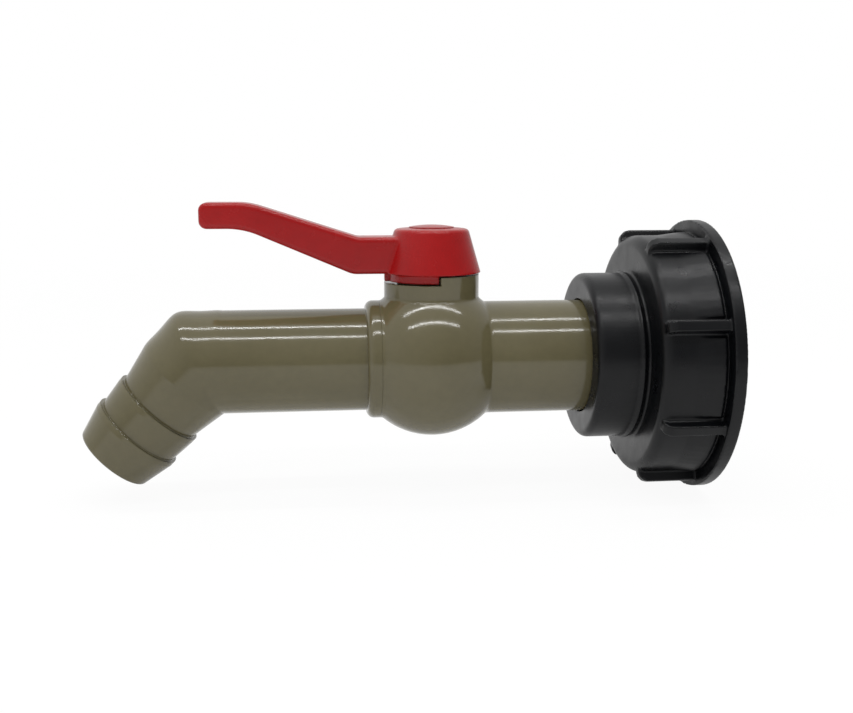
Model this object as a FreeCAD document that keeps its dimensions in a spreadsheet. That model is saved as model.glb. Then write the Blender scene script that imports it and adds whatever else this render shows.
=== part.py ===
"""Ball tap with a ribbed screw-on tank coupling, as a parametric FreeCAD document.

Row frame: the origin is on the tap's axis at the tank gasket's front face, +X runs along
the pipe towards the tank and +Z is up.  The tap itself is laid out about its ball centre
("tap frame", x to the right of the ball), and each body's Placement carries it to its place.
The handle is drawn in line with the pipe, which is the open position.
"""
import FreeCAD, Part

import math
import os

import Sketcher

DOC = FreeCAD.newDocument("tank_tap")
SHEET_NAME = "Sizes"

# Driving dimensions in millimetres and degrees: alias, value, what it measures.
SIZES = (
    # ball, seats and chamber
    ("ball_radius", 15.5, "ball"),
    ("waterway_radius", 10.0, "bore of ball, seats and inlet"),
    ("seat_gap", 0.15, "ball to the seats' round faces"),
    ("chamber_clearance", 0.7, "ball to chamber wall"),
    ("globe_wall", 6.5, "wall of the round ball housing"),
    ("seat_back_inset", 2.0, "seat's back face, inside the ball's radius"),
    ("seat_depth", 4.0, "seat along the pipe"),
    ("seat_rim", 2.2, "chamber wall to the seat's outside"),
    ("fit_gap", 0.1, "parts pushed into each other"),
    ("slot_width", 4.3, "slot across the ball's top"),
    ("slot_depth", 3.2, "slot below the ball's top"),
    ("seal_section", 1.8, "cross-section of every sealing ring"),
    ("seal_gap", 0.05, "sealing rings to their grooves"),
    ("seal_rim", 0.8, "seat outside its sealing ring"),
    # inlet side
    ("inlet_tube_radius", 16.55, "pipe to the coupling"),
    ("inlet_fillet", 1.5, "housing into the inlet pipe"),
    ("inlet_shoulder", 2.8, "inlet pipe inside the coupling's recess"),
    ("spigot_radius", 13.1, "threaded spigot, taken as its crest"),
    ("spigot_length", 14.0, "threaded spigot"),
    ("hub_offset", 44.1, "ball centre to the coupling's hub"),
    # spout
    ("joint_fillet", 1.5, "housing into the spout's collar"),
    ("joint_lip", 0.14, "straight rim from that fillet to the joint"),
    ("collar_margin", 1.0, "spout collar outside the chamber"),
    ("collar_length", 4.0, "spout collar"),
    ("collar_round", 2.2, "spout collar's outer edge"),
    ("spout_radius", 14.9, "spout tube"),
    ("spout_wall", 3.6, "spout wall"),
    ("elbow_offset", 60.4, "ball centre to the start of the elbow"),
    ("elbow_bend", 47.1, "turn of the elbow"),
    ("elbow_inner_gap", 0.4, "inside corner of the elbow"),
    ("knee_round", 5.0, "outside corner of the elbow"),
    ("cone_length", 11.0, "taper from the elbow to the barbs"),
    ("cone_end_radius", 12.7, "taper's small end"),
    ("barb_radius", 13.7, "crest of both barbs, for 25 mm hose"),
    ("barb_land", 1.5, "flat crest of a barb"),
    ("barb_pitch", 9.1, "crest to crest"),
    ("barb_root_radius", 12.85, "between the barbs"),
    ("tip_length", 10.9, "last crest to the spout's mouth"),
    ("tip_radius", 11.45, "spout's mouth outside"),
    ("tip_round", 0.8, "edge of the mouth"),
    ("mouth_bore_radius", 9.2, "bore through the barbs"),
    # boss and stops
    ("boss_radius", 13.8, "stem boss"),
    ("boss_foot", 1.0, "fillet round the foot of the boss"),
    ("rim_rise", 2.3, "boss rim above the housing's top"),
    ("stop_depth", 2.4, "step that stops the handle"),
    ("column_radius", 10.2, "centre of the boss inside the stop track"),
    ("quarter_turn", 90.0, "handle travel"),
    ("stop_slack", 1.5, "lug to each stop, in degrees"),
    ("lug_start", 176.0, "lug's start angle in the open position"),
    ("lug_span", 97.5, "lug's length in degrees"),
    ("lug_inset", 1.2, "lug inside the boss's outside"),
    ("lug_tooth_span", 11.0, "full-width start of the lug, in degrees"),
    ("turning_gap", 0.4, "handle to boss"),
    # stem
    ("stem_radius", 6.0, "stem in its bore"),
    ("stem_clearance", 0.08, "running fit of the stem"),
    ("stem_lift", 0.3, "stem flange above the ball"),
    ("stem_flange_radius", 8.0, "flange that keeps the stem in"),
    ("stem_flange_depth", 1.9, "that flange"),
    ("thrust_washer_depth", 0.7, "washer above the flange"),
    ("stem_seal_inset", 2.2, "shoulder to the lower seal's centre"),
    ("stem_seal_pitch", 2.6, "between the two stem seals"),
    ("seal_groove_play", 0.3, "groove wider than its ring"),
    ("tang_length", 11.0, "stem's tongue along the slot"),
    ("tang_play", 0.15, "tongue to the slot's sides"),
    ("drive_size", 7.6, "stem's square"),
    ("drive_height", 6.0, "stem's square in the handle"),
    ("pilot_radius", 2.0, "screw hole in the stem"),
    ("pilot_depth", 9.0, "screw hole in the stem"),
    # handle
    ("skirt_flare", 0.5, "head's skirt outside the boss"),
    ("head_height", 12.5, "handle head from skirt to shoulder"),
    ("head_top_radius", 10.7, "shoulder of the head"),
    ("head_round", 1.3, "rounding of the shoulder"),
    ("head_crown", 0.4, "rise from the shoulder to the cap"),
    ("hub_wall_radius", 7.2, "socket post inside the head"),
    ("head_cavity_height", 7.6, "hollow round the post"),
    ("web_thickness", 2.0, "under the screw"),
    ("lever_reach", 65.7, "ball centre to the lever's tip"),
    ("lever_width", 11.5, "lever across"),
    ("lever_root_depth", 10.45, "lever at the head"),
    ("lever_tip_depth", 7.3, "lever at the tip"),
    ("lever_rise", 13.0, "underside of the tip above the skirt"),
    ("lever_top_inner", 21.4, "upper bend near the head"),
    ("lever_top_level", 13.7, "upper bend near the tip to the tip"),
    ("lever_under_inner", 23.1, "lower bend near the head"),
    ("lever_under_level", 12.1, "lower bend near the tip to the tip"),
    ("lever_inner_round", 6.0, "bends near the head"),
    ("lever_outer_round", 22.0, "bends near the tip"),
    ("lever_tip_round", 2.2, "corners of the tip"),
    ("lever_edge_round", 1.3, "long edges of the lever"),
    ("lever_wall", 2.4, "sides of the hollow under the lever"),
    # screw, washer and cap
    ("screw_play", 0.05, "screw in the stem"),
    ("screw_length", 8.5, "screw below its head"),
    ("screw_head_radius", 4.0, "screw head"),
    ("screw_head_height", 2.2, "screw head"),
    ("washer_radius", 4.8, "washer under the screw head"),
    ("washer_depth", 0.6, "washer under the screw head"),
    ("cap_radius", 6.5, "cap's visible disc"),
    ("cap_plug_radius", 5.5, "cap inside the head"),
    ("cap_edge", 0.2, "cap's straight edge"),
    ("cap_dome", 0.6, "cap's rise"),
    # coupling nut, measured from the gasket's front face
    ("thread_radius", 30.3, "bore for the tank's S60x6 thread, at its root"),
    ("thread_depth", 15.0, "bore from the gasket to the mouth"),
    ("gasket_depth", 3.0, "tank gasket"),
    ("gasket_radius", 28.6, "tank gasket outside"),
    ("gasket_bore_radius", 21.0, "tank gasket inside"),
    ("nut_wall", 3.5, "end wall of the nut"),
    ("nut_radius", 35.5, "nut outside, between the ribs"),
    ("nut_shoulder", 3.0, "rounded front edge of the nut"),
    ("flange_radius", 40.0, "flange at the nut's mouth"),
    ("flange_depth", 3.5, "flange at the nut's mouth"),
    ("hub_length", 14.9, "hub from its face to the nut's front"),
    ("hub_radius", 24.5, "hub outside"),
    ("hub_round", 2.0, "hub's front edge"),
    ("hub_bead_height", 0.6, "bead round the hub"),
    ("hub_bead_width", 0.8, "bead round the hub"),
    ("hub_bead_inset", 1.65, "bead to the nut's front"),
    ("hub_thread_play", 0.2, "hub's bore to the spigot"),
    ("recess_play", 0.3, "hub's recess to the inlet pipe"),
    ("inlet_washer_depth", 2.0, "washer in the hub's recess"),
    ("rib_count", 8, "grip ribs"),
    ("rib_height", 3.0, "ribs above the nut"),
    ("rib_width", 3.1, "ribs across"),
    ("rib_round", 3.0, "ribs' front ends"),
    ("rib_clocking", 24.0, "first rib, turned from the top"),
    ("pad_rise", 1.0, "swell between the ribs at the flange"),
    ("pad_length", 8.0, "swell along the nut"),
    ("pad_groove", 0.8, "swell to the flange"),
    ("pad_side_gap", 1.2, "swell to the ribs"),
)


class Size:
    """A length or angle that carries both its number and its formula in the sheet."""

    def __init__(self, number, formula):
        self.number = number
        self.formula = formula

    def join(self, sign, other, number):
        return Size(number, f"({self.formula} {sign} {size(other).formula})")

    def __add__(self, other):
        return self.join("+", other, self.number + size(other).number)

    def __sub__(self, other):
        return self.join("-", other, self.number - size(other).number)

    def __mul__(self, other):
        return self.join("*", other, self.number * size(other).number)

    def __truediv__(self, other):
        return self.join("/", other, self.number / size(other).number)

    def __neg__(self):
        return Size(-self.number, f"(0 - {self.formula})")


def size(value):
    """A plain number as a Size."""
    return value if isinstance(value, Size) else Size(float(value), repr(float(value)))


def other_leg(hypotenuse, leg):
    """Third side of a right-angled triangle."""
    number = math.sqrt(hypotenuse.number ** 2 - leg.number ** 2)
    return Size(number, f"sqrt({hypotenuse.formula} ^ 2 - {leg.formula} ^ 2)")


def cosine(angle):
    return Size(math.cos(math.radians(angle.number)), f"cos({angle.formula} * 1 deg)")


def sine(angle):
    return Size(math.sin(math.radians(angle.number)), f"sin({angle.formula} * 1 deg)")


def fill_sheet():
    """Write the driving dimensions to the sheet and return them by name."""
    sheet = DOC.addObject("Spreadsheet::Sheet", SHEET_NAME)
    named = {}
    for row, (alias, number, note) in enumerate(SIZES, start=1):
        sheet.set(f"A{row}", str(number))
        sheet.setAlias(f"A{row}", alias)
        sheet.set(f"B{row}", "'" + note)
        named[alias] = Size(float(number), f"{SHEET_NAME}.{alias}")
    DOC.recompute()
    return named


class Sheet:
    """The sheet's sizes as attributes."""

    def __init__(self, named):
        self.__dict__.update(named)


s = Sheet(fill_sheet())


# --- what the sizes add up to -------------------------------------------------------------

chamber_radius = s.ball_radius + s.chamber_clearance
globe_radius = chamber_radius + s.globe_wall
seat_back = s.ball_radius - s.seat_back_inset
seat_front = seat_back - s.seat_depth
seat_radius = chamber_radius - s.seat_rim
collar_radius = chamber_radius + s.collar_margin
joint_fillet_x = other_leg(globe_radius + s.joint_fillet, collar_radius + s.joint_fillet)
joint_face = joint_fillet_x + s.joint_lip
seat_pocket_radius = seat_radius + s.fit_gap
seat_seal_radius = seat_radius - s.seal_rim - s.seal_section / 2

rim_top = globe_radius + s.rim_rise
track_floor = rim_top - s.stop_depth
handle_bottom = rim_top + s.turning_gap
skirt_radius = s.boss_radius + s.skirt_flare
lug_inner_radius = s.column_radius + s.turning_gap
lug_end = s.lug_start + s.lug_span
track_start = s.lug_start - s.quarter_turn - s.stop_slack
track_end = lug_end + s.stop_slack

stem_bottom = s.ball_radius + s.stem_lift
stem_flange_top = stem_bottom + s.stem_flange_depth
stem_shoulder = stem_flange_top + s.thrust_washer_depth
stem_bore_radius = s.stem_radius + s.stem_clearance
stem_top = handle_bottom + s.drive_height
stem_seal_radius = stem_bore_radius - s.seal_section / 2 - s.seal_gap
stem_groove_radius = stem_seal_radius - s.seal_section / 2 - s.seal_gap
stem_seal_lower = stem_shoulder + s.stem_seal_inset
stem_seal_upper = stem_seal_lower + s.stem_seal_pitch
seal_groove_width = s.seal_section + s.seal_groove_play
slot_floor = s.ball_radius - s.slot_depth

web_bottom = stem_top + s.turning_gap / 2
web_top = web_bottom + s.web_thickness
screw_seat = web_top + s.washer_depth
screw_top = screw_seat + s.screw_head_height
head_shoulder = handle_bottom + s.head_height
head_top = head_shoulder + s.head_crown
lever_half = s.lever_width / 2
lever_top_outer = s.lever_reach - s.lever_top_level
lever_under_outer = s.lever_reach - s.lever_under_level

shoulder_face = s.hub_offset + s.inlet_shoulder
gasket_back = s.gasket_depth
nut_front = gasket_back + s.nut_wall
hub_face = nut_front + s.hub_length
ball_to_gasket = s.hub_offset + hub_face
hub_recess_depth = s.inlet_shoulder + s.inlet_washer_depth


# --- small tools for building -------------------------------------------------------------

XY, XZ, YZ = "XY_Plane", "XZ_Plane", "YZ_Plane"
HORIZONTAL, VERTICAL = "H_Axis", "V_Axis"
BODIES = {}


def bind(thing, target, value):
    """Tie a property of an object to the sheet."""
    thing.setExpression(target, size(value).formula)


def keep(thing, label):
    """Name a finished sub-part; the label is its file name."""
    thing.Label = label
    BODIES[label] = thing
    return thing


def new_body(label):
    return keep(DOC.addObject("PartDesign::Body", label), label)


def origin_plane(body, role):
    return next(part for part in body.Origin.OriginFeatures if part.Role == role)


def new_sketch(body, name, plane, height=0):
    """A sketch on one of the body's own planes, lifted off it by a height."""
    sketch = body.newObject("Sketcher::SketchObject", name)
    sketch.AttachmentSupport = [(origin_plane(body, plane), "")]
    sketch.MapMode = "FlatFace"
    if height:
        bind(sketch, "AttachmentOffset.Base.z", height)
    return sketch


def pin_point(sketch, index, end, x, y):
    """Fix one end of an edge at (x, y) from the sketch's origin."""
    for kind, value in (("DistanceX", size(x)), ("DistanceY", size(y))):
        row = sketch.addConstraint(Sketcher.Constraint(kind, -1, 1, index, end, value.number))
        bind(sketch, f"Constraints[{row}]", value)


def arc_between(start, end, radius):
    """Arc from start to end; a positive radius turns left, a negative one turns right."""
    chord = end - start
    half = chord.Length / 2
    reach = math.sqrt(max(radius ** 2 - half ** 2, 0.0))
    left = FreeCAD.Vector(-chord.y, chord.x, 0).normalize()
    side = 1 if radius > 0 else -1
    centre = start + chord / 2 + left * reach * side
    circle = Part.Circle(centre, FreeCAD.Vector(0, 0, 1), abs(radius))
    first, last = circle.parameter(start), circle.parameter(end)
    if side < 0:
        first, last = last, first
    if last < first:
        last += 2 * math.pi
    return Part.ArcOfCircle(circle, first, last)


def draw_outline(sketch, steps):
    """Closed outline through (x, y) steps; a third value is the arc radius to that step."""
    places = [FreeCAD.Vector(size(step[0]).number, size(step[1]).number, 0) for step in steps]
    count = len(steps)
    starts = []
    for row in range(count):
        here, there = places[row - 1], places[row]
        if len(steps[row]) == 3:
            radius = steps[row][2]
            index = sketch.addGeometry(arc_between(here, there, radius.number), False)
            forward = radius.number > 0
            bend = abs(radius.number)
            held = sketch.addConstraint(Sketcher.Constraint("Radius", index, bend))
            bind(sketch, f"Constraints[{held}]", radius if forward else -radius)
        else:
            index = sketch.addGeometry(Part.LineSegment(here, there), False)
            forward = True
        starts.append((index, 1 if forward else 2, 2 if forward else 1))
    for row in range(count):
        index, _, tail = starts[row]
        following, head, _ = starts[(row + 1) % count]
        sketch.addConstraint(Sketcher.Constraint("Coincident", index, tail, following, head))
        pin_point(sketch, index, tail, steps[row][0], steps[row][1])
    return sketch


def draw_circle(sketch, radius, x=0, y=0):
    """Circle of a given radius about (x, y)."""
    centre = FreeCAD.Vector(size(x).number, size(y).number, 0)
    circle = Part.Circle(centre, FreeCAD.Vector(0, 0, 1), size(radius).number)
    index = sketch.addGeometry(circle, False)
    pin_point(sketch, index, 3, x, y)
    row = sketch.addConstraint(Sketcher.Constraint("Radius", index, size(radius).number))
    bind(sketch, f"Constraints[{row}]", radius)
    return sketch


def draw_block(sketch, width, height):
    """Rectangle centred on the sketch's origin."""
    across, up = size(width) / 2, size(height) / 2
    return draw_outline(sketch, [(-across, -up), (across, -up), (across, up), (-across, up)])


def draw_ring_sector(sketch, inner, outer, start, end):
    """Part of a ring between two angles, as two arcs and two straight ends."""
    corners = [(outer * cosine(end), outer * sine(end), outer),
               (inner * cosine(end), inner * sine(end)),
               (inner * cosine(start), inner * sine(start), -inner),
               (outer * cosine(start), outer * sine(start))]
    return draw_outline(sketch, corners)


def volume_of(body):
    DOC.recompute()
    return body.Shape.Volume


def checked(body, feature, before, adds):
    """Make sure a feature really added or removed material."""
    after = volume_of(body)
    moved = after - before if adds else before - after
    if moved <= 0:
        raise RuntimeError(f"{feature.Label} changed nothing")
    return feature


def revolve(body, sketch, axis, adds=True, angle=360):
    before = volume_of(body) if body.Tip else 0.0
    kind = "PartDesign::Revolution" if adds else "PartDesign::Groove"
    feature = body.newObject(kind, sketch.Name + "_turned")
    feature.Profile = sketch
    feature.ReferenceAxis = (sketch, [axis])
    feature.Midplane = True
    bind(feature, "Angle", angle)
    sketch.Visibility = False
    return checked(body, feature, before, adds)


def extrude(body, sketch, length, adds=True, back=False, both=False):
    before = volume_of(body) if body.Tip else 0.0
    kind = "PartDesign::Pad" if adds else "PartDesign::Pocket"
    feature = body.newObject(kind, sketch.Name + "_raised" if adds else sketch.Name + "_cut")
    feature.Profile = sketch
    feature.Reversed = back
    feature.Midplane = both
    bind(feature, "Length", length)
    sketch.Visibility = False
    return checked(body, feature, before, adds)


def round_edges(body, name, radius, wanted):
    """Fillet the edges of the body's tip that the test picks."""
    DOC.recompute()
    base = body.Tip
    names = [f"Edge{row}" for row, edge in enumerate(base.Shape.Edges, start=1) if wanted(edge)]
    if not names:
        raise RuntimeError(f"{name}: no edge to round")
    fillet = body.newObject("PartDesign::Fillet", name)
    fillet.Base = (base, names)
    bind(fillet, "Radius", radius)
    DOC.recompute()
    return fillet


def ring_edge(axis, place, radius):
    """Test for an edge that lies on a circle round an axis, at a place along it."""
    place, radius = size(place).number, size(radius).number

    def wanted(edge):
        for spot in edge.discretize(5):
            along = getattr(spot, axis)
            off_axis = math.sqrt(max(spot.Length ** 2 - along ** 2, 0))
            if abs(along - place) > 0.02 or abs(off_axis - radius) > 0.02:
                return False
        return True
    return wanted


def move_along_pipe(thing, distance):
    """Carry a sub-part from the tap frame to the row frame."""
    bind(thing, "Placement.Base.x", distance)
    return thing


def tap_body(label):
    """A body that is drawn about the ball centre."""
    return move_along_pipe(new_body(label), -ball_to_gasket)


# --- housing ------------------------------------------------------------------------------

def make_valve_body():
    """Globe, inlet pipe and threaded spigot in one piece, with the stem boss on top."""
    body = tap_body("valve_body")
    spigot_end = shoulder_face + s.spigot_length
    fillet_height = s.inlet_tube_radius + s.inlet_fillet
    fillet_x = other_leg(globe_radius + s.inlet_fillet, fillet_height)
    share = globe_radius / (globe_radius + s.inlet_fillet)
    joint_share = globe_radius / (globe_radius + s.joint_fillet)
    outside = draw_outline(new_sketch(body, "barrel", XZ), [
        (-joint_face, 0), (-joint_face, collar_radius), (-joint_fillet_x, collar_radius),
        (-joint_fillet_x * joint_share, (collar_radius + s.joint_fillet) * joint_share,
         s.joint_fillet),
        (fillet_x * share, fillet_height * share, -globe_radius),
        (fillet_x, s.inlet_tube_radius, s.inlet_fillet),
        (shoulder_face, s.inlet_tube_radius), (shoulder_face, s.spigot_radius),
        (spigot_end, s.spigot_radius), (spigot_end, 0)])
    revolve(body, outside, HORIZONTAL)
    foot_out = s.boss_radius + s.boss_foot
    foot_up = other_leg(globe_radius + s.boss_foot, foot_out)
    foot_share = globe_radius / (globe_radius + s.boss_foot)
    boss = draw_outline(new_sketch(body, "boss", XZ), [
        (0, 0), (foot_out * foot_share, foot_up * foot_share),
        (s.boss_radius, foot_up, -s.boss_foot), (s.boss_radius, track_floor), (0, track_floor)])
    revolve(body, boss, VERTICAL)
    column = draw_circle(new_sketch(body, "column", XY, track_floor), s.column_radius)
    extrude(body, column, s.stop_depth)
    rim = new_sketch(body, "rim", XY, track_floor)
    draw_ring_sector(rim, s.column_radius - s.fit_gap, s.boss_radius,
                     track_end - 360, track_start)
    extrude(body, rim, s.stop_depth)
    chamber = draw_outline(new_sketch(body, "chamber", XZ), [
        (-joint_face - 1, 0), (-joint_face - 1, chamber_radius), (seat_front, chamber_radius),
        (seat_front, seat_pocket_radius), (seat_back, seat_pocket_radius),
        (seat_back, s.waterway_radius), (spigot_end + 1, s.waterway_radius),
        (spigot_end + 1, 0)])
    revolve(body, chamber, HORIZONTAL, adds=False)
    stem_hole = draw_outline(new_sketch(body, "stem_hole", XZ), [
        (0, 0), (s.stem_flange_radius + s.fit_gap * 2, 0),
        (s.stem_flange_radius + s.fit_gap * 2, stem_shoulder),
        (stem_bore_radius, stem_shoulder), (stem_bore_radius, rim_top + 1), (0, rim_top + 1)])
    revolve(body, stem_hole, VERTICAL, adds=False)
    return body


# --- spout --------------------------------------------------------------------------------

FAN_SLICES = 6


def elbow_slice(name, fraction, inset):
    """Slice of the mitred elbow through its inside corner, part of the way round the turn."""
    turned = s.elbow_bend * fraction
    from_end = turned if fraction <= 0.5 else s.elbow_bend - turned
    far = (s.spout_radius * 2 + s.elbow_inner_gap) / cosine(from_end)
    if fraction == 0.5:
        far = far - s.knee_round * (size(1) / cosine(s.elbow_bend / 2) - 1)
    middle = (far + s.elbow_inner_gap) / 2
    if fraction in (0, 1):
        slice_edge = DOC.addObject("Part::Circle", name)
        bind(slice_edge, "Radius", s.spout_radius - inset)
    else:
        slice_edge = DOC.addObject("Part::Ellipse", name)
        bind(slice_edge, "MajorRadius", (far - s.elbow_inner_gap) / 2 - inset)
        bind(slice_edge, "MinorRadius", s.spout_radius - inset)
    corner_height = -(s.spout_radius + s.elbow_inner_gap)
    slice_edge.Placement = FreeCAD.Placement(
        FreeCAD.Vector(0, 0, 0), FreeCAD.Rotation(FreeCAD.Vector(0, 1, 0), -90 - turned.number))
    bind(slice_edge, "Placement.Base.x", -s.elbow_offset - middle * sine(turned))
    bind(slice_edge, "Placement.Base.z", corner_height + middle * cosine(turned))
    return slice_edge


def elbow_loft(name, inset):
    """Smooth loft through the slices; a positive inset gives the bore."""
    loft = DOC.addObject("Part::Loft", name)
    loft.Sections = [elbow_slice(f"{name}_slice_{row}", row / FAN_SLICES, size(inset))
                     for row in range(FAN_SLICES + 1)]
    loft.Solid = True
    loft.Ruled = False
    return loft


def aim_nozzle(thing):
    """Stand a form that is drawn along +X on the elbow's open end."""
    reach = s.spout_radius + s.elbow_inner_gap
    thing.Placement = FreeCAD.Placement(
        FreeCAD.Vector(0, 0, 0),
        FreeCAD.Rotation(FreeCAD.Vector(0, 1, 0), 180 - s.elbow_bend.number))
    bind(thing, "Placement.Base.x", -s.elbow_offset - reach * sine(s.elbow_bend))
    bind(thing, "Placement.Base.z", -reach + reach * cosine(s.elbow_bend))
    return thing


def form(name):
    """A body that is only a building block of a sub-part."""
    return DOC.addObject("PartDesign::Body", name)


def make_straight_run():
    """Plug, collar and straight tube."""
    plug_radius = chamber_radius - s.fit_gap
    body = form("spout_run")
    collar_end = joint_face + s.collar_length
    outside = draw_outline(new_sketch(body, "run", XZ), [
        (-seat_front, 0), (-seat_front, plug_radius), (-joint_face, plug_radius),
        (-joint_face, collar_radius), (-collar_end, collar_radius),
        (-collar_end, s.spout_radius), (-s.elbow_offset, s.spout_radius), (-s.elbow_offset, 0)])
    revolve(body, outside, HORIZONTAL)
    round_edges(body, "collar_round", s.collar_round, ring_edge("x", -collar_end, collar_radius))
    return body


def make_nozzle():
    """Taper and two hose barbs, drawn along +X from the elbow's end."""
    body = form("nozzle")
    crest_one = s.cone_length
    crest_two = crest_one + s.barb_pitch
    mouth = crest_two + s.tip_length
    outside = draw_outline(new_sketch(body, "barbs", XZ), [
        (0, 0), (0, s.spout_radius), (crest_one, s.cone_end_radius), (crest_one, s.barb_radius),
        (crest_one + s.barb_land, s.barb_radius), (crest_two, s.barb_root_radius),
        (crest_two, s.barb_radius), (crest_two + s.barb_land, s.barb_radius),
        (mouth, s.tip_radius), (mouth, 0)])
    revolve(body, outside, HORIZONTAL)
    round_edges(body, "mouth_round", s.tip_round, ring_edge("x", mouth, s.tip_radius))
    return aim_nozzle(body)


def make_run_bore():
    body = form("run_bore")
    bore_radius = s.spout_radius - s.spout_wall
    hollow = draw_outline(new_sketch(body, "run_hollow", XZ), [
        (-seat_front + 1, 0), (-seat_front + 1, seat_pocket_radius),
        (-seat_back, seat_pocket_radius), (-seat_back, bore_radius),
        (-s.elbow_offset, bore_radius), (-s.elbow_offset, 0)])
    revolve(body, hollow, HORIZONTAL)
    return body


def make_nozzle_bore():
    body = form("nozzle_bore")
    mouth = s.cone_length + s.barb_pitch + s.tip_length
    hollow = draw_outline(new_sketch(body, "nozzle_hollow", XZ), [
        (0, 0), (0, s.spout_radius - s.spout_wall), (s.cone_length, s.mouth_bore_radius),
        (mouth + 1, s.mouth_bore_radius), (mouth + 1, 0)])
    revolve(body, hollow, HORIZONTAL)
    return aim_nozzle(body)


def make_outlet_spout():
    """Spout in one piece: plug, collar, tube, mitred elbow and barbed nozzle."""
    solid = DOC.addObject("Part::MultiFuse", "spout_solid")
    solid.Shapes = [make_straight_run(), elbow_loft("elbow", 0), make_nozzle()]
    hollow = DOC.addObject("Part::MultiFuse", "spout_hollow")
    hollow.Shapes = [make_run_bore(), elbow_loft("elbow_bore", s.spout_wall),
                     make_nozzle_bore()]
    spout = DOC.addObject("Part::Cut", "outlet_spout")
    spout.Base = solid
    spout.Tool = hollow
    move_along_pipe(spout, -ball_to_gasket)
    return keep(spout, "outlet_spout")


# --- ball, seats and rings ----------------------------------------------------------------

def make_ball():
    """Bored ball with a slot for the stem's tongue, across the pipe when open."""
    sphere = DOC.addObject("Part::Sphere", "ball_sphere")
    bind(sphere, "Radius", s.ball_radius)
    bore = DOC.addObject("Part::Cylinder", "ball_bore")
    bore.Placement.Rotation = FreeCAD.Rotation(FreeCAD.Vector(0, 1, 0), 90)
    bind(bore, "Radius", s.waterway_radius)
    bind(bore, "Height", s.ball_radius * 3)
    bind(bore, "Placement.Base.x", -s.ball_radius * 1.5)
    slot = DOC.addObject("Part::Box", "ball_slot")
    bind(slot, "Length", s.slot_width)
    bind(slot, "Width", s.ball_radius * 3)
    bind(slot, "Height", s.ball_radius)
    bind(slot, "Placement.Base.x", -s.slot_width / 2)
    bind(slot, "Placement.Base.y", -s.ball_radius * 1.5)
    bind(slot, "Placement.Base.z", slot_floor)
    cuts = DOC.addObject("Part::MultiFuse", "ball_cuts")
    cuts.Shapes = [bore, slot]
    ball = DOC.addObject("Part::Cut", "ball")
    ball.Base = sphere
    ball.Tool = cuts
    move_along_pipe(ball, -ball_to_gasket)
    return keep(ball, "ball")


def make_seat(label, side):
    """Seat ring; its face towards the ball is hollowed to the ball's curve."""
    body = tap_body(label)
    hollow_radius = s.ball_radius + s.seat_gap
    bore_edge = other_leg(hollow_radius, s.waterway_radius)
    face_edge = other_leg(hollow_radius, seat_front)
    groove = s.seal_section + s.seal_gap
    half_ring = s.seal_section / 2 + s.seal_gap
    groove_outer = seat_seal_radius + half_ring
    groove_inner = seat_seal_radius - half_ring
    section = draw_outline(new_sketch(body, label + "_section", XZ), [
        (bore_edge, s.waterway_radius), (seat_front, face_edge, hollow_radius),
        (seat_front, seat_radius), (seat_back, seat_radius), (seat_back, groove_outer),
        (seat_back - groove, groove_outer), (seat_back - groove, groove_inner),
        (seat_back, groove_inner), (seat_back, s.waterway_radius)])
    revolve(body, section, HORIZONTAL)
    if side < 0:
        body.Placement.Rotation = FreeCAD.Rotation(FreeCAD.Vector(0, 0, 1), 180)
    return body


# --- stem ---------------------------------------------------------------------------------

def make_stem():
    """Stem with a keeper flange, two seal grooves, a tongue below and a square above."""
    body = tap_body("stem")
    half = seal_groove_width / 2
    side = draw_outline(new_sketch(body, "stem_side", XZ), [
        (0, stem_bottom), (s.stem_flange_radius, stem_bottom),
        (s.stem_flange_radius, stem_flange_top), (s.stem_radius, stem_flange_top),
        (s.stem_radius, stem_seal_lower - half), (stem_groove_radius, stem_seal_lower - half),
        (stem_groove_radius, stem_seal_lower + half), (s.stem_radius, stem_seal_lower + half),
        (s.stem_radius, stem_seal_upper - half), (stem_groove_radius, stem_seal_upper - half),
        (stem_groove_radius, stem_seal_upper + half), (s.stem_radius, stem_seal_upper + half),
        (s.stem_radius, handle_bottom), (0, handle_bottom)])
    revolve(body, side, VERTICAL)
    square = draw_block(new_sketch(body, "stem_square", XY, handle_bottom),
                        s.drive_size, s.drive_size)
    extrude(body, square, s.drive_height)
    tongue = draw_block(new_sketch(body, "tongue", XY, stem_bottom),
                        s.slot_width - s.tang_play * 2, s.tang_length)
    extrude(body, tongue, stem_bottom - slot_floor - s.stem_lift, back=True)
    pilot = draw_circle(new_sketch(body, "pilot", XY, stem_top), s.pilot_radius)
    extrude(body, pilot, s.pilot_depth, adds=False)
    return body


# --- handle -------------------------------------------------------------------------------

def cross_edge(x, z):
    """Test for a straight edge across the lever, at (x, z)."""
    def wanted(edge):
        ends = [vertex.Point for vertex in edge.Vertexes]
        return len(ends) == 2 and all(
            abs(end.x - x.number) < 0.01 and abs(end.z - z.number) < 0.01 for end in ends)
    return wanted


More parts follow.
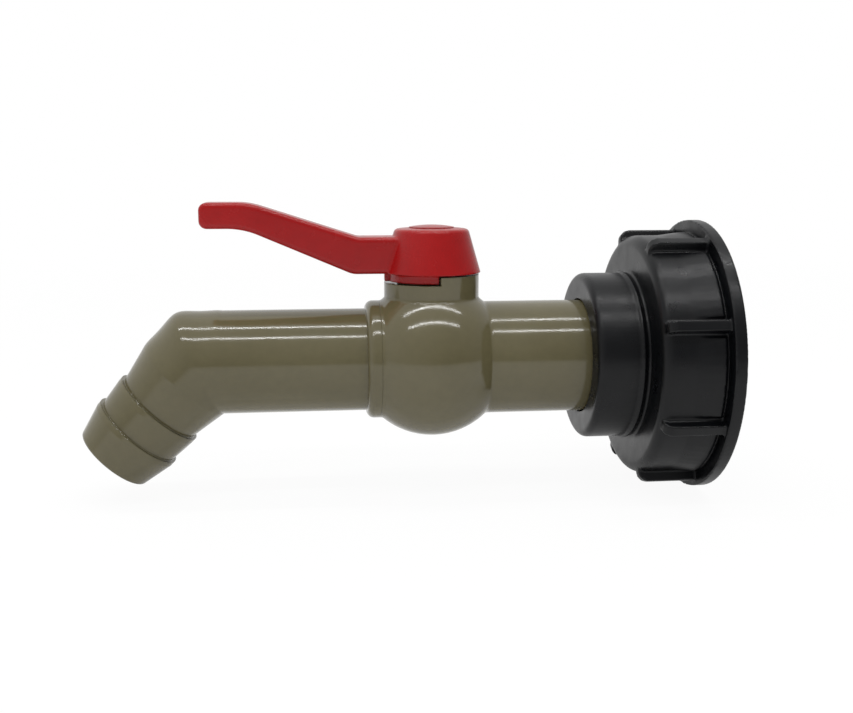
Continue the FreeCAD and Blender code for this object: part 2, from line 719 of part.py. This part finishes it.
def make_lever(body):
    """Cranked lever: a side outline raised both ways, its bends and tip corners rounded."""
    tip_under = handle_bottom + s.lever_rise
    tip_top = tip_under + s.lever_tip_depth
    root_top = handle_bottom + s.lever_root_depth
    inside_head = s.hub_wall_radius + 1
    side = draw_outline(new_sketch(body, "lever_side", XZ), [
        (-inside_head, handle_bottom), (-inside_head, root_top),
        (-s.lever_top_inner, root_top), (-lever_top_outer, tip_top),
        (-s.lever_reach, tip_top), (-s.lever_reach, tip_under),
        (-lever_under_outer, tip_under), (-s.lever_under_inner, handle_bottom)])
    extrude(body, side, s.lever_width, both=True)
    bends = (("tip_corners", s.lever_tip_round,
              ((s.lever_reach, tip_top), (s.lever_reach, tip_under))),
             ("outer_bends", s.lever_outer_round,
              ((lever_top_outer, tip_top), (lever_under_outer, tip_under))),
             ("inner_bends", s.lever_inner_round,
              ((s.lever_top_inner, root_top), (s.lever_under_inner, handle_bottom))))
    for name, radius, places in bends:
        tests = [cross_edge(-x, z) for x, z in places]
        round_edges(body, name, radius, lambda edge: any(test(edge) for test in tests))
    reach_in = skirt_radius.number

    def long_edge(edge):
        box = edge.BoundBox
        at_side = abs(abs(box.YMin) - lever_half.number) < 0.01 and box.YLength < 0.01
        return at_side and box.XMax < -reach_in + 3 and box.XMin < -reach_in - 1

    round_edges(body, "lever_edges", s.lever_edge_round, long_edge)


def make_handle():
    """Lever and head in one moulding, with a stop lug under the skirt."""
    body = tap_body("handle")
    profile = draw_outline(new_sketch(body, "head", XZ), [
        (0, handle_bottom), (skirt_radius, handle_bottom), (s.head_top_radius, head_shoulder),
        (s.cap_radius, head_top), (0, head_top)])
    revolve(body, profile, VERTICAL)
    round_edges(body, "head_round", s.head_round,
                ring_edge("z", head_shoulder, s.head_top_radius))
    make_lever(body)
    cavity = draw_outline(new_sketch(body, "head_cavity", XZ), [
        (s.hub_wall_radius, handle_bottom - 1), (lug_inner_radius, handle_bottom - 1),
        (lug_inner_radius - 1, handle_bottom + s.head_cavity_height),
        (s.hub_wall_radius, handle_bottom + s.head_cavity_height)])
    revolve(body, cavity, VERTICAL, adds=False)
    for name, outer, end in (("lug", s.boss_radius - s.lug_inset, lug_end),
                             ("lug_tooth", s.boss_radius, s.lug_start + s.lug_tooth_span)):
        lug = new_sketch(body, name, XY, handle_bottom)
        draw_ring_sector(lug, lug_inner_radius, outer, s.lug_start, end)
        extrude(body, lug, s.stop_depth, back=True)
    socket_size = s.drive_size + s.fit_gap * 2
    socket = draw_block(new_sketch(body, "socket", XY, web_bottom),
                        socket_size, socket_size)
    extrude(body, socket, s.drive_height * 1.5, adds=False)
    screw_hole = draw_circle(new_sketch(body, "screw_hole", XY, head_top),
                             s.pilot_radius + s.fit_gap * 3)
    extrude(body, screw_hole, s.head_height, adds=False)
    cap_hole = draw_circle(new_sketch(body, "cap_hole", XY, head_top),
                           s.cap_plug_radius + s.fit_gap)
    extrude(body, cap_hole, head_top - web_top, adds=False)
    make_lever_hollow(body)
    return body


def make_lever_hollow(body):
    """Hollow moulded up into the lever from below, as such levers have."""
    tip_under = handle_bottom + s.lever_rise
    roof = s.lever_wall
    root_top = handle_bottom + s.lever_root_depth - roof
    tip_top = tip_under + s.lever_tip_depth - roof
    near = skirt_radius + s.lever_wall
    far = s.lever_reach - s.lever_wall * 1.5
    hollow = draw_outline(new_sketch(body, "lever_hollow", XZ), [
        (-near, handle_bottom - 1), (-near, root_top), (-s.lever_top_inner, root_top),
        (-lever_top_outer, tip_top), (-far, tip_top), (-far, tip_under - 1),
        (-lever_under_outer, tip_under - 1), (-s.lever_under_inner, handle_bottom - 1)])
    extrude(body, hollow, s.lever_width - s.lever_wall * 2, adds=False, both=True)


def dome_radius(half_width, rise):
    """Radius of a dome over a round base."""
    return (half_width * half_width + rise * rise) / (rise * 2)


def make_handle_screw():
    """Pan-headed screw into the stem's top."""
    body = tap_body("handle_screw")
    straight = s.screw_head_height / 3
    dome = dome_radius(s.screw_head_radius, s.screw_head_height - straight)
    shank = s.pilot_radius - s.screw_play
    side = draw_outline(new_sketch(body, "screw_side", XZ), [
        (0, screw_seat - s.screw_length), (shank, screw_seat - s.screw_length),
        (shank, screw_seat), (s.screw_head_radius, screw_seat),
        (s.screw_head_radius, screw_seat + straight), (0, screw_top, dome)])
    revolve(body, side, VERTICAL)
    return body


def make_handle_cap():
    """Domed plug that closes the head over the screw."""
    body = tap_body("handle_cap")
    edge = head_top + s.cap_edge
    apex = edge + s.cap_dome
    dome = dome_radius(s.cap_radius, s.cap_dome)
    side = draw_outline(new_sketch(body, "cap_side", XZ), [
        (0, screw_top + s.fit_gap * 2), (s.cap_plug_radius, screw_top + s.fit_gap * 2),
        (s.cap_plug_radius, head_top), (s.cap_radius, head_top), (s.cap_radius, edge),
        (0, apex, dome)])
    revolve(body, side, VERTICAL)
    return body


# --- coupling -----------------------------------------------------------------------------

def make_coupling_nut():
    """Nut for the tank's coarse thread, with a hub for the tap's spigot and grip ribs."""
    body = new_body("coupling_nut")
    bead_end = nut_front + s.hub_bead_inset
    bead_start = bead_end + s.hub_bead_width
    bead_radius = s.hub_radius + s.hub_bead_height
    flange_start = s.thread_depth - s.flange_depth
    outside = draw_outline(new_sketch(body, "nut_side", XZ), [
        (-hub_face, 0), (-hub_face, s.hub_radius), (-bead_start, s.hub_radius),
        (-bead_start, bead_radius), (-bead_end, bead_radius), (-bead_end, s.hub_radius),
        (-nut_front, s.hub_radius), (-nut_front, s.nut_radius), (flange_start, s.nut_radius),
        (flange_start, s.flange_radius), (s.thread_depth, s.flange_radius),
        (s.thread_depth, 0)])
    revolve(body, outside, HORIZONTAL)
    round_edges(body, "hub_edge", s.hub_round, ring_edge("x", -hub_face, s.hub_radius))
    round_edges(body, "nut_edge", s.nut_shoulder, ring_edge("x", -nut_front, s.nut_radius))
    make_ribs(body, flange_start)
    make_pads(body, flange_start)
    hub_bore = s.spigot_radius + s.hub_thread_play
    recess = s.inlet_tube_radius + s.recess_play
    recess_end = -hub_face + hub_recess_depth
    gasket_seat = s.gasket_radius + s.hub_thread_play
    inside = draw_outline(new_sketch(body, "nut_hollow", XZ), [
        (-hub_face - 1, 0), (-hub_face - 1, recess), (recess_end, recess),
        (recess_end, hub_bore), (-gasket_back, hub_bore), (-gasket_back, gasket_seat),
        (0, gasket_seat), (0, s.thread_radius), (s.thread_depth + 1, s.thread_radius),
        (s.thread_depth + 1, 0)])
    revolve(body, inside, HORIZONTAL, adds=False)
    body.Placement.Rotation = FreeCAD.Rotation(FreeCAD.Vector(1, 0, 0), s.rib_clocking.number)
    return body


def ring_of(body, feature):
    """Repeat a feature once for every rib round the nut."""
    pattern = body.newObject("PartDesign::PolarPattern", feature.Name + "_ring")
    pattern.Originals = [feature]
    pattern.Axis = (feature.Profile[0], [HORIZONTAL])
    pattern.Angle = 360
    bind(pattern, "Occurrences", s.rib_count)
    body.Tip = pattern
    DOC.recompute()
    return pattern


def make_ribs(body, flange_start):
    """Straight grip ribs with rounded front ends."""
    crest = s.nut_radius + s.rib_height
    root = s.nut_radius - s.nut_shoulder / 2
    start = -nut_front + s.nut_shoulder / 4
    side = draw_outline(new_sketch(body, "rib_side", XZ), [
        (start, root), (start, crest - s.rib_round), (start + s.rib_round, crest, -s.rib_round),
        (flange_start + 1, crest), (flange_start + 1, root)])
    ring_of(body, extrude(body, side, s.rib_width, both=True))


def make_pads(body, flange_start):
    """Swelling of the nut's wall towards the flange, clear of ribs and flange."""
    half_pitch = size(180) / s.rib_count
    cleared = (s.rib_width + s.pad_side_gap * 2) / s.nut_radius * math.degrees(1)
    root = s.nut_radius - s.nut_shoulder / 2
    end = flange_start - s.pad_groove
    sketch = new_sketch(body, "pad_side", XZ)
    sketch.AttachmentOffset = FreeCAD.Placement(
        FreeCAD.Vector(0, 0, 0), FreeCAD.Rotation(FreeCAD.Vector(1, 0, 0), half_pitch.number))
    draw_outline(sketch, [(end - s.pad_length, root), (end - s.pad_length, s.nut_radius),
                          (end, s.nut_radius + s.pad_rise), (end, root)])
    pad = revolve(body, sketch, HORIZONTAL, angle=half_pitch * 2 - cleared)
    ring_of(body, pad)


# --- rings and washers --------------------------------------------------------------------

def make_seal_ring(label, radius, x, z, along_pipe):
    """Round-section sealing ring about the pipe's axis or the stem's."""
    ring = DOC.addObject("Part::Torus", label)
    bind(ring, "Radius1", radius)
    bind(ring, "Radius2", s.seal_section / 2)
    if along_pipe:
        ring.Placement.Rotation = FreeCAD.Rotation(FreeCAD.Vector(0, 1, 0), 90)
    bind(ring, "Placement.Base.x", x - ball_to_gasket)
    bind(ring, "Placement.Base.z", z)
    return keep(ring, label)


def make_flat_ring(label, plane, inner, outer, depth, x, z):
    """Flat washer or gasket, raised from its own origin and then put in place."""
    body = new_body(label)
    sketch = new_sketch(body, label + "_ring", plane)
    draw_circle(sketch, outer)
    draw_circle(sketch, inner)
    extrude(body, sketch, depth)
    bind(body, "Placement.Base.x", x)
    bind(body, "Placement.Base.z", z)
    return body


def make_rings():
    """Every seal, washer and gasket of the tap and its coupling."""
    stem_x = size(0)
    make_seal_ring("stem_o_ring_lower", stem_seal_radius, stem_x, stem_seal_lower, False)
    make_seal_ring("stem_o_ring_upper", stem_seal_radius, stem_x, stem_seal_upper, False)
    seat_seal_x = seat_back - (s.seal_section + s.seal_gap) / 2
    make_seal_ring("inlet_seat_o_ring", seat_seal_radius, seat_seal_x, 0, True)
    make_seal_ring("outlet_seat_o_ring", seat_seal_radius, -seat_seal_x, 0, True)
    make_flat_ring("stem_thrust_washer", XY, s.stem_radius + s.fit_gap,
                   s.stem_flange_radius, s.thrust_washer_depth, -ball_to_gasket,
                   stem_flange_top)
    make_flat_ring("screw_washer", XY, s.pilot_radius + s.fit_gap, s.washer_radius,
                   s.washer_depth, -ball_to_gasket, web_top)
    make_flat_ring("inlet_washer", YZ, s.spigot_radius + s.hub_thread_play,
                   s.inlet_tube_radius, s.inlet_washer_depth,
                   shoulder_face - ball_to_gasket, 0)
    make_flat_ring("tank_gasket", YZ, s.gasket_bore_radius, s.gasket_radius,
                   s.gasket_depth, -gasket_back, 0)


# --- the whole tap ------------------------------------------------------------------------

def finish():
    """Stop if anything failed, then write each sub-part to its own file."""
    DOC.recompute()
    failed = [thing.Label for thing in DOC.Objects
              if any(mark in thing.State for mark in ("Invalid", "Error"))]
    if failed:
        raise RuntimeError("failed: " + ", ".join(failed))
    for label, thing in BODIES.items():
        if thing.Shape.isNull() or not thing.Shape.isValid():
            raise RuntimeError("bad shape: " + label)
    os.makedirs("parts", exist_ok=True)
    for label, thing in BODIES.items():
        thing.Shape.exportStep(os.path.join("parts", label + ".step"))
        box = thing.Shape.BoundBox
        print(f"{label:20s} {thing.Shape.Volume:9.0f} mm3  solids {len(thing.Shape.Solids)}"
              f"  x {box.XMin:7.1f} {box.XMax:7.1f}  z {box.ZMin:6.1f} {box.ZMax:6.1f}")


make_valve_body()
make_outlet_spout()
make_ball()
for label, side in (("inlet_seat", 1), ("outlet_seat", -1)):
    make_seat(label, side)
make_stem()
make_handle()
make_handle_screw()
make_handle_cap()
make_coupling_nut()
make_rings()
finish()
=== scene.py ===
"""Looks of a plastic ball tap with a ribbed screw-on tank coupling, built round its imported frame.

Everything is in metres in the row frame: the origin is on the pipe's axis at the tank gasket's
front face, +X runs towards the tank and +Z is up.  Shapes are worked out in millimetres.
"""

import math

import bmesh
import bpy
from mathutils import Matrix, Vector


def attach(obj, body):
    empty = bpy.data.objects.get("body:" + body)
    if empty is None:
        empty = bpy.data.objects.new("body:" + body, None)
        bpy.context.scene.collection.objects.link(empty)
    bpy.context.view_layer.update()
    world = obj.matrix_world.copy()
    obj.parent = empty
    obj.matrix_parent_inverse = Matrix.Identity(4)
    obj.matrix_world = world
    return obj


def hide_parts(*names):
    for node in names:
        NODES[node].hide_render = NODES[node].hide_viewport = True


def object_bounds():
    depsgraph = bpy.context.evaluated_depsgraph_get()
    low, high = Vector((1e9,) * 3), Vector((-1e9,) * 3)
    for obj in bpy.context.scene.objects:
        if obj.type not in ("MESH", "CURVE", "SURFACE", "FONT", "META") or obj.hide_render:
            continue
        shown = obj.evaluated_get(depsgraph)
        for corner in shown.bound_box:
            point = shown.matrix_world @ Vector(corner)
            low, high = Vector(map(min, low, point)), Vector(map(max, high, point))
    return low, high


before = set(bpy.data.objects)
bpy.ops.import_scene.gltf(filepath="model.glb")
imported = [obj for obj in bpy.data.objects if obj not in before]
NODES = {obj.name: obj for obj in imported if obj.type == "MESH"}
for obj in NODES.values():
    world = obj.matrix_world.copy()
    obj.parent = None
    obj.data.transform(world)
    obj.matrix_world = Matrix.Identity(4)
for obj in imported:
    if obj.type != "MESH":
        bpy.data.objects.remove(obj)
CAD_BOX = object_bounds()

MM = 0.001
BALL_X = -65.5                      # ball centre along the pipe, in mm


def place(name, data):
    """A new object at the origin, in the scene."""
    thing = bpy.data.objects.new(name, data)
    bpy.context.scene.collection.objects.link(thing)
    return thing


# --- materials ------------------------------------------------------------------------------

def linear(red, green, blue):
    """An 8-bit sRGB colour as the linear one that a shader takes."""
    def channel(value):
        value /= 255
        return value / 12.92 if value <= 0.04045 else ((value + 0.055) / 1.055) ** 2.4
    return (channel(red), channel(green), channel(blue), 1.0)


class Recipe:
    """A small helper that adds and links the nodes of one material."""

    def __init__(self, name):
        self.material = bpy.data.materials.new(name)
        self.material.use_nodes = True
        self.tree = self.material.node_tree
        self.shader = self.tree.nodes["Principled BSDF"]
        self.place = self.add("ShaderNodeTexCoord").outputs["Object"]

    def add(self, kind, **settings):
        node = self.tree.nodes.new(kind)
        for key, value in settings.items():
            setattr(node, key, value)
        return node

    def link(self, source, target):
        self.tree.links.new(source, target)

    def stretched(self, scale):
        """The object's own coordinates, scaled differently along each axis."""
        mapping = self.add("ShaderNodeMapping")
        mapping.inputs["Scale"].default_value = scale
        self.link(self.place, mapping.inputs["Vector"])
        return mapping.outputs["Vector"]

    def noise(self, scale, detail=3.0, where=None, roughness=0.5):
        node = self.add("ShaderNodeTexNoise")
        node.inputs["Scale"].default_value = scale
        node.inputs["Detail"].default_value = detail
        node.inputs["Roughness"].default_value = roughness
        self.link(where or self.place, node.inputs["Vector"])
        return node.outputs["Fac"]

    def ramp(self, factor, *stops):
        """Colours or greys at places from 0 to 1."""
        node = self.add("ShaderNodeValToRGB")
        elements = node.color_ramp.elements
        while len(elements) < len(stops):
            elements.new(0.5)
        for element, (place, colour) in zip(elements, stops):
            element.position = place
            element.color = colour if len(colour) == 4 else (*colour, 1)
        self.link(factor, node.inputs["Fac"])
        return node.outputs["Color"]

    def blend(self, factor, first, second, mode="MIX"):
        node = self.add("ShaderNodeMix", data_type="RGBA", blend_type=mode)
        for socket, value in ((0, factor), (6, first), (7, second)):
            if hasattr(value, "links"):
                self.link(value, node.inputs[socket])
            else:
                node.inputs[socket].default_value = value
        return node.outputs[2]

    def spread(self, factor, low, high):
        node = self.add("ShaderNodeMapRange")
        node.inputs["From Min"].default_value = 0.3
        node.inputs["From Max"].default_value = 0.7
        node.inputs["To Min"].default_value = low
        node.inputs["To Max"].default_value = high
        self.link(factor, node.inputs["Value"])
        return node.outputs["Result"]

    def bump(self, height, depth, below=None):
        """Bump of a real depth in metres, over an earlier normal."""
        node = self.add("ShaderNodeBump")
        node.inputs["Distance"].default_value = depth
        self.link(height, node.inputs["Height"])
        if below is not None:
            self.link(below, node.inputs["Normal"])
        return node.outputs["Normal"]

    def soft_edges(self, radius):
        node = self.add("ShaderNodeBevel", samples=6)
        node.inputs["Radius"].default_value = radius
        return node.outputs["Normal"]

    def finish(self, colour, roughness, normal):
        for source, socket in ((colour, "Base Color"), (roughness, "Roughness"),
                               (normal, "Normal")):
            self.link(source, self.shader.inputs[socket])
        return self.material


def moulded(name, main, dark, light, rough, grain=0.000004, wave=0.00004, edge=0.0003,
            specular=0.5):
    """Moulded plastic: faint flow mottling, fine grain and slightly softened edges."""
    recipe = Recipe(name)
    broad = recipe.noise(45, 4)
    fine = recipe.noise(420, 3)
    tone = recipe.ramp(broad, (0.3, linear(*dark)), (0.5, linear(*main)), (0.72, linear(*light)))
    specks = recipe.ramp(fine, (0.35, (0.93, 0.93, 0.93)), (0.6, (1.0, 1.0, 1.0)))
    colour = recipe.blend(0.6, tone, specks, "MULTIPLY")
    normal = recipe.bump(recipe.noise(110, 2), wave, recipe.soft_edges(edge))
    normal = recipe.bump(recipe.noise(2600, 2), grain, normal)
    recipe.shader.inputs["Specular IOR Level"].default_value = specular
    return recipe.finish(colour, recipe.spread(recipe.noise(160, 3), *rough), normal)


MATERIALS = {
    "tan": moulded("tan_pvc", (94, 88, 63), (90, 84, 59), (98, 92, 67), (0.1, 0.15),
                   edge=0.0005),
    "red": moulded("red_abs", (154, 14, 16), (148, 12, 14), (160, 17, 19), (0.22, 0.3),
                   edge=0.0003, specular=0.3),
    "black": moulded("black_pp", (8, 9, 12), (6, 7, 9), (11, 12, 15), (0.26, 0.36),
                     grain=0.000008, edge=0.0003, specular=0.25),
    "white": moulded("white_acetal", (236, 235, 228), (230, 229, 221), (241, 240, 234),
                     (0.15, 0.22)),
    "seat": moulded("seat_ptfe", (228, 228, 224), (220, 220, 216), (236, 236, 232),
                    (0.4, 0.5)),
    "nylon": moulded("dark_nylon", (58, 58, 60), (52, 52, 54), (66, 66, 68), (0.3, 0.4)),
    "rubber": moulded("black_rubber", (24, 24, 24), (20, 20, 20), (30, 30, 30), (0.6, 0.75),
                      grain=0.00002),
}


def steel():
    """Turned and tumbled stainless steel."""
    recipe = Recipe("stainless_steel")
    recipe.shader.inputs["Metallic"].default_value = 1.0
    streaks = recipe.noise(900, 4, recipe.stretched((1, 1, 0.15)))
    colour = recipe.ramp(streaks, (0.3, linear(186, 186, 184)), (0.7, linear(212, 212, 209)))
    rough = recipe.spread(recipe.noise(700, 3), 0.22, 0.36)
    return recipe.finish(colour, rough, recipe.bump(streaks, 0.000006, recipe.soft_edges(0.0002)))


MATERIALS["steel"] = steel()

FINISH_OF_NODE = {
    "valve_body": "tan", "outlet_spout": "tan", "handle": "red", "handle_cap": "red",
    "coupling_nut": "black", "ball": "white", "inlet_seat": "seat", "outlet_seat": "seat",
    "inlet_seat_o_ring": "rubber", "outlet_seat_o_ring": "rubber",
    "stem_o_ring_lower": "rubber", "stem_o_ring_upper": "rubber", "stem": "nylon",
    "stem_thrust_washer": "seat", "tank_gasket": "rubber", "inlet_washer": "rubber",
    "handle_screw": "steel", "screw_washer": "steel",
}


def dress(thing, finish):
    """Give every material slot of an object one finish."""
    slots = thing.material_slots
    if not slots:
        thing.data.materials.append(None)
    for slot in thing.material_slots:
        slot.material = MATERIALS[finish]


for node, finish in FINISH_OF_NODE.items():
    dress(NODES[node], finish)


# --- moulded pieces ---------------------------------------------------------------------------

def add_piece(name, mesh, body, slot, finish, *nodes):
    """A piece of the looks that rides on a body and stands for some nodes; its slot argument is not
    used.
    """
    piece = place(name, mesh)
    dress(piece, finish)
    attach(piece, body)
    if nodes:
        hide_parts(*nodes)
    return piece


def softened(node, body, slot, voxel, rounds, keep):
    """A node again with the rounded edges and inside corners of a real moulding."""
    sketch = place(node + "_sketch", NODES[node].data.copy())
    even = sketch.modifiers.new("even", "REMESH")
    even.mode = "VOXEL"
    even.voxel_size = voxel * MM
    soft = sketch.modifiers.new("soft", "SMOOTH")
    soft.factor = 0.5
    soft.iterations = rounds
    thin = sketch.modifiers.new("thin", "DECIMATE")
    thin.ratio = keep
    mesh = bpy.data.meshes.new_from_object(
        sketch.evaluated_get(bpy.context.evaluated_depsgraph_get()))
    bpy.data.objects.remove(sketch)
    mesh.name = node + "_moulding"
    mesh.shade_smooth()
    return add_piece(node + "_moulding", mesh, body, slot, FINISH_OF_NODE[node], node)


# --- thread in the nut ------------------------------------------------------------------------

THREAD_PITCH = 6.0                  # thread, in mm
THREAD_ROOT = 30.25                 # foot of the ridge, by the bore's wall
THREAD_CREST = 28.6
THREAD_START, THREAD_END = 3.2, 12.6
THREAD_WIDTH = THREAD_PITCH * 0.55
THREAD_THIN_END = 0.04              # height left at the very end, as a share
STEPS_PER_TURN = 96
RUN_OUT_STEPS = STEPS_PER_TURN / 8


def make_thread():
    """Coarse rounded ridge along a helix, running out at both ends."""
    turns = (THREAD_END - THREAD_START) / THREAD_PITCH
    count = int(turns * STEPS_PER_TURN)
    profile = [(0.5 * math.cos(math.pi * row / 10), math.sin(math.pi * row / 10))
               for row in range(11)]
    points, faces = [], []
    for step in range(count + 1):
        angle = 2 * math.pi * step / STEPS_PER_TURN
        middle = THREAD_START + THREAD_PITCH * step / STEPS_PER_TURN
        from_end = min(step, count - step) / RUN_OUT_STEPS
        share = max(THREAD_THIN_END, math.sin(min(from_end, 1) * math.pi / 2))
        rise = (THREAD_ROOT - THREAD_CREST) * share
        for along, up in profile:
            radius = THREAD_ROOT - rise * up
            points.append(((middle + along * THREAD_WIDTH) * MM,
                           radius * math.cos(angle) * MM, radius * math.sin(angle) * MM))
    width = len(profile)
    for step in range(count):
        for row in range(width):
            after = (row + 1) % width
            faces.append((step * width + row, step * width + after,
                          (step + 1) * width + after, (step + 1) * width + row))
    faces.append(tuple(reversed(range(width))))
    faces.append(tuple(range(count * width, (count + 1) * width)))
    mesh = bpy.data.meshes.new("nut_thread")
    mesh.from_pydata(points, [], faces)
    work = bmesh.new()
    work.from_mesh(mesh)
    bmesh.ops.recalc_face_normals(work, faces=work.faces)
    work.to_mesh(mesh)
    work.free()
    mesh.shade_smooth()
    return add_piece("nut_thread", mesh, "tap_body", "coupling_plastic", "black")


softened("handle", "turning_handle", "handle_plastic", voxel=0.25, rounds=5, keep=0.35)
softened("coupling_nut", "tap_body", "coupling_plastic", voxel=0.36, rounds=4, keep=0.3)
make_thread()


# --- floor, light and camera ------------------------------------------------------------------

FLOOR_REACH = 6.0                   # half the floor's side, in metres
FLOOR_NEAR = (0.15, 0.94)           # metres from the origin, share of plain white there
FLOOR_FAR = (0.9, 1.0)
FLOOR_GLOSS = 0.45                  # how much of that white shows in reflections

BRIGHT_SIDE = Vector((-0.45, 0.6, 0.66))    # where the surroundings are brightest
WORLD_DIM, WORLD_BRIGHT = 0.12, 0.95

LAMP_DISTANCE = 0.9                 # lamps, in metres and watts
LAMP_LENGTH, LAMP_WIDTH = 1.17, 0.022
LAMP_POWER = 3.0

CAMERA_SPOT = Vector((-101.3, -303.2, 54.8)) * MM
CAMERA_AHEAD = Vector((0.1109, 0.9782, -0.1755))
CAMERA_LENS = 44.3


def make_floor():
    """White floor that keeps a faint shadow and runs out into the white surroundings."""
    height = CAD_BOX[0].z
    mesh = bpy.data.meshes.new("floor")
    corners = [(x * FLOOR_REACH, y * FLOOR_REACH, height)
               for x, y in ((-1, -1), (1, -1), (1, 1), (-1, 1))]
    mesh.from_pydata(corners, [], [(0, 1, 2, 3)])
    floor = place("floor", mesh)
    material = bpy.data.materials.new("floor_white")
    material.use_nodes = True
    nodes, links = material.node_tree.nodes, material.node_tree.links
    nodes.clear()
    output = nodes.new("ShaderNodeOutputMaterial")
    diffuse = nodes.new("ShaderNodeBsdfDiffuse")
    diffuse.inputs["Color"].default_value = (0.9, 0.9, 0.9, 1)
    glow = nodes.new("ShaderNodeEmission")
    glow.inputs["Color"].default_value = (1, 1, 1, 1)
    path = nodes.new("ShaderNodeLightPath")
    where = nodes.new("ShaderNodeTexCoord")
    away = nodes.new("ShaderNodeVectorMath")
    away.operation = "LENGTH"
    links.new(where.outputs["Object"], away.inputs[0])
    fade = nodes.new("ShaderNodeMapRange")
    for end, (distance, white) in (("Min", FLOOR_NEAR), ("Max", FLOOR_FAR)):
        fade.inputs["From " + end].default_value = distance
        fade.inputs["To " + end].default_value = white
    links.new(away.outputs["Value"], fade.inputs["Value"])
    share = nodes.new("ShaderNodeMath")
    share.operation = "MULTIPLY"
    links.new(fade.outputs["Result"], share.inputs[1])
    seen = nodes.new("ShaderNodeMath")
    seen.operation = "MULTIPLY_ADD"
    seen.inputs[1].default_value = FLOOR_GLOSS
    links.new(path.outputs["Is Glossy Ray"], seen.inputs[0])
    links.new(path.outputs["Is Camera Ray"], seen.inputs[2])
    links.new(seen.outputs[0], share.inputs[0])
    mix = nodes.new("ShaderNodeMixShader")
    links.new(share.outputs[0], mix.inputs[0])
    links.new(diffuse.outputs[0], mix.inputs[1])
    links.new(glow.outputs[0], mix.inputs[2])
    links.new(mix.outputs[0], output.inputs["Surface"])
    mesh.materials.append(material)


def make_world():
    """Soft surroundings, brighter behind, above and at the left, plain white to the camera."""
    world = bpy.data.worlds.new("studio")
    bpy.context.scene.world = world
    world.use_nodes = True
    nodes, links = world.node_tree.nodes, world.node_tree.links
    background = nodes["Background"]
    where = nodes.new("ShaderNodeTexCoord")
    towards = nodes.new("ShaderNodeVectorMath")
    towards.operation = "DOT_PRODUCT"
    towards.inputs[1].default_value = BRIGHT_SIDE
    links.new(where.outputs["Generated"], towards.inputs[0])
    level = nodes.new("ShaderNodeMapRange")
    level.inputs["From Min"].default_value = -1.0
    level.inputs["From Max"].default_value = 1.0
    level.inputs["To Min"].default_value = WORLD_DIM
    level.inputs["To Max"].default_value = WORLD_BRIGHT
    links.new(towards.outputs["Value"], level.inputs["Value"])
    path = nodes.new("ShaderNodeLightPath")
    mix = nodes.new("ShaderNodeMix")
    mix.data_type = "FLOAT"
    links.new(path.outputs["Is Camera Ray"], mix.inputs[0])
    links.new(level.outputs["Result"], mix.inputs[2])
    mix.inputs[3].default_value = 1.0
    links.new(mix.outputs[0], background.inputs["Strength"])
    background.inputs["Color"].default_value = (1, 1, 1, 1)


def make_strip(name, elevation):
    """Long thin lamp parallel to the pipe, at an elevation seen from the ball."""
    lamp = bpy.data.lights.new(name, "AREA")
    lamp.shape = "RECTANGLE"
    lamp.size, lamp.size_y = LAMP_LENGTH, LAMP_WIDTH
    lamp.energy = LAMP_POWER
    holder = place(name, lamp)
    angle = math.radians(elevation)
    away = Vector((0, -math.cos(angle), math.sin(angle)))
    along = Vector((1, 0, 0))
    across = away.cross(along)
    turn = Matrix((along, across, away)).transposed().to_4x4()
    middle = Vector((BALL_X, 0, 0)) * MM
    holder.matrix_world = Matrix.Translation(middle + away * LAMP_DISTANCE) @ turn


def make_camera():
    """Camera in front of the tap, a little above it and to the left of its middle."""
    camera = bpy.data.cameras.new("camera")
    camera.lens = CAMERA_LENS
    camera.sensor_width = 36
    camera.clip_start, camera.clip_end = 0.01, 20
    holder = place("camera", camera)
    turn = CAMERA_AHEAD.to_track_quat("-Z", "Y").to_matrix().to_4x4()
    holder.matrix_world = Matrix.Translation(CAMERA_SPOT) @ turn
    bpy.context.scene.camera = holder


make_floor()
make_world()
make_strip("strip_above", elevation=89)
make_strip("strip_front", elevation=62)
make_camera()
bpy.context.scene.view_settings.view_transform = "Standard"
